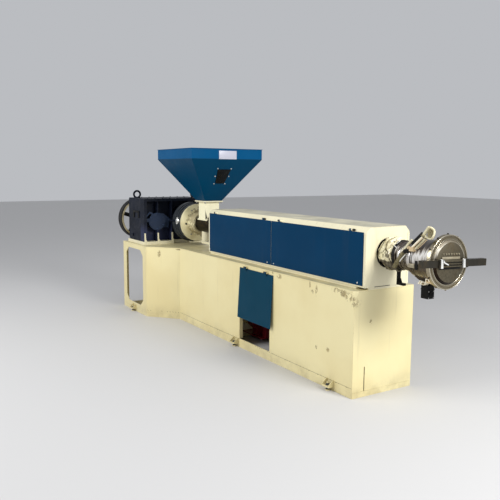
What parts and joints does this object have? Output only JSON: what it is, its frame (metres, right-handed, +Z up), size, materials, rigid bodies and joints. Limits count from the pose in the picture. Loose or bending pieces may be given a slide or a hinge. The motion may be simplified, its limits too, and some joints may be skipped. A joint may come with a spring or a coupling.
{
  "type": "plastic extruder",
  "caption": "Single-screw plastic extruder: sheet-steel base, gearbox with belt drive, square hopper, hooded barrel with hinged flaps and a round die with a cross bar.",
  "frame": {"origin": "on the floor, under the barrel axis, at the die end of the base", "axes": "+X along the barrel towards the die, -Y towards the side with the access door, +Z up"},
  "size_m": [4.5023, 1.188, 1.81],
  "materials": {
    "cream_paint": "semi-gloss cream enamel on sheet steel, scuffed",
    "flap_paint": "deep blue enamel on sheet steel",
    "hopper_paint": "teal-blue enamel on sheet steel",
    "gear_paint": "dark grey-blue machine enamel on castings",
    "cast_iron": "oiled dark iron and nitrided steel",
    "bright_steel": "turned and polished steel, heat tinted",
    "heater_steel": "sheet steel heater bands",
    "die_face": "brown, heat-stained steel",
    "belt_rubber": "black V-belt rubber",
    "insulation": "glass-fibre tape and sleeving, cream",
    "black_plastic": "black moulded plastic",
    "window": "smoked acrylic",
    "blower_paint": "red enamel"
  },
  "bodies": {
    "frame": {"base_sill": "cream_paint", "base_near_wall": "cream_paint", "base_far_wall": "cream_paint", "base_end_wall": "cream_paint", "base_deck": "cream_paint", "taper_walls": "cream_paint", "pedestal_near_wall": "cream_paint", "pedestal_far_wall": "cream_paint", "pedestal_rear_frame": "cream_paint", "pedestal_deck": "cream_paint", "cooling_blower": "blower_paint", "hood_sill": "cream_paint", "hood_top": "cream_paint", "hood_end_plates": "cream_paint", "gearbox_foot": "cream_paint", "gearbox_housing": "gear_paint", "gearbox_lid": "gear_paint", "bearing_cover": "gear_paint", "thrust_housing": "cast_iron", "feed_flange": "cream_paint", "feed_throat": "cream_paint", "barrel": "cast_iron", "heater_bands": "heater_steel", "barrel_support": "cream_paint", "hopper_flange": "cream_paint", "hopper": "hopper_paint", "sight_glass": "window", "barrel_wrap": "insulation", "adapter": "bright_steel", "die_body": "bright_steel", "die_ring": "bright_steel", "die_plate": "die_face", "cross_bar": "bright_steel", "heater_leads": "insulation", "terminal_box": "black_plastic", "cable_elbow": "black_plastic", "v_belts": "belt_rubber", "motor": "gear_paint", "motor_shelf": "cream_paint"},
    "access_door": {"access_door": "flap_paint"},
    "flap_near_feed": {"flap_near_feed": "flap_paint"},
    "flap_near_die": {"flap_near_die": "flap_paint"},
    "flap_far_feed": {"flap_far_feed": "flap_paint"},
    "flap_far_die": {"flap_far_die": "flap_paint"},
    "drive_pulley": {"drive_pulley": "cream_paint"},
    "motor_pulley": {"motor_pulley": "cast_iron"}
  },
  "joints": [
    {"name": "access_door_hinge", "type": "hinge", "parent": "frame", "child": "access_door", "pos_m": [-1.265, -0.30069, 0.748], "axis": [-1, 0, 0], "range_deg": [-3, 110]},
    {"name": "flap_near_feed_hinge", "type": "hinge", "parent": "frame", "child": "flap_near_feed", "pos_m": [-1.70193, -0.206, 1.185], "axis": [-1, 0, 0], "range_deg": [0, 170]},
    {"name": "flap_near_die_hinge", "type": "hinge", "parent": "frame", "child": "flap_near_die", "pos_m": [-0.58193, -0.206, 1.185], "axis": [-1, 0, 0], "range_deg": [0, 170]},
    {"name": "flap_far_feed_hinge", "type": "hinge", "parent": "frame", "child": "flap_far_feed", "pos_m": [-1.70193, 0.206, 1.185], "axis": [1, 0, 0], "range_deg": [0, 170]},
    {"name": "flap_far_die_hinge", "type": "hinge", "parent": "frame", "child": "flap_far_die", "pos_m": [-0.58193, 0.206, 1.185], "axis": [1, 0, 0], "range_deg": [0, 170]},
    {"name": "drive_pulley_spin", "type": "hinge", "parent": "frame", "child": "drive_pulley", "pos_m": [-3.85, -0.32, 1.025], "axis": [1, 0, 0], "continuous": true},
    {"name": "motor_pulley_spin", "type": "hinge", "parent": "frame", "child": "motor_pulley", "pos_m": [-3.85, 0.3, 0.56], "axis": [1, 0, 0], "continuous": true}
  ],
  "couplings": [
    {"joint": "motor_pulley_spin", "follows": "drive_pulley_spin", "ratio": 2.7647}
  ]
}
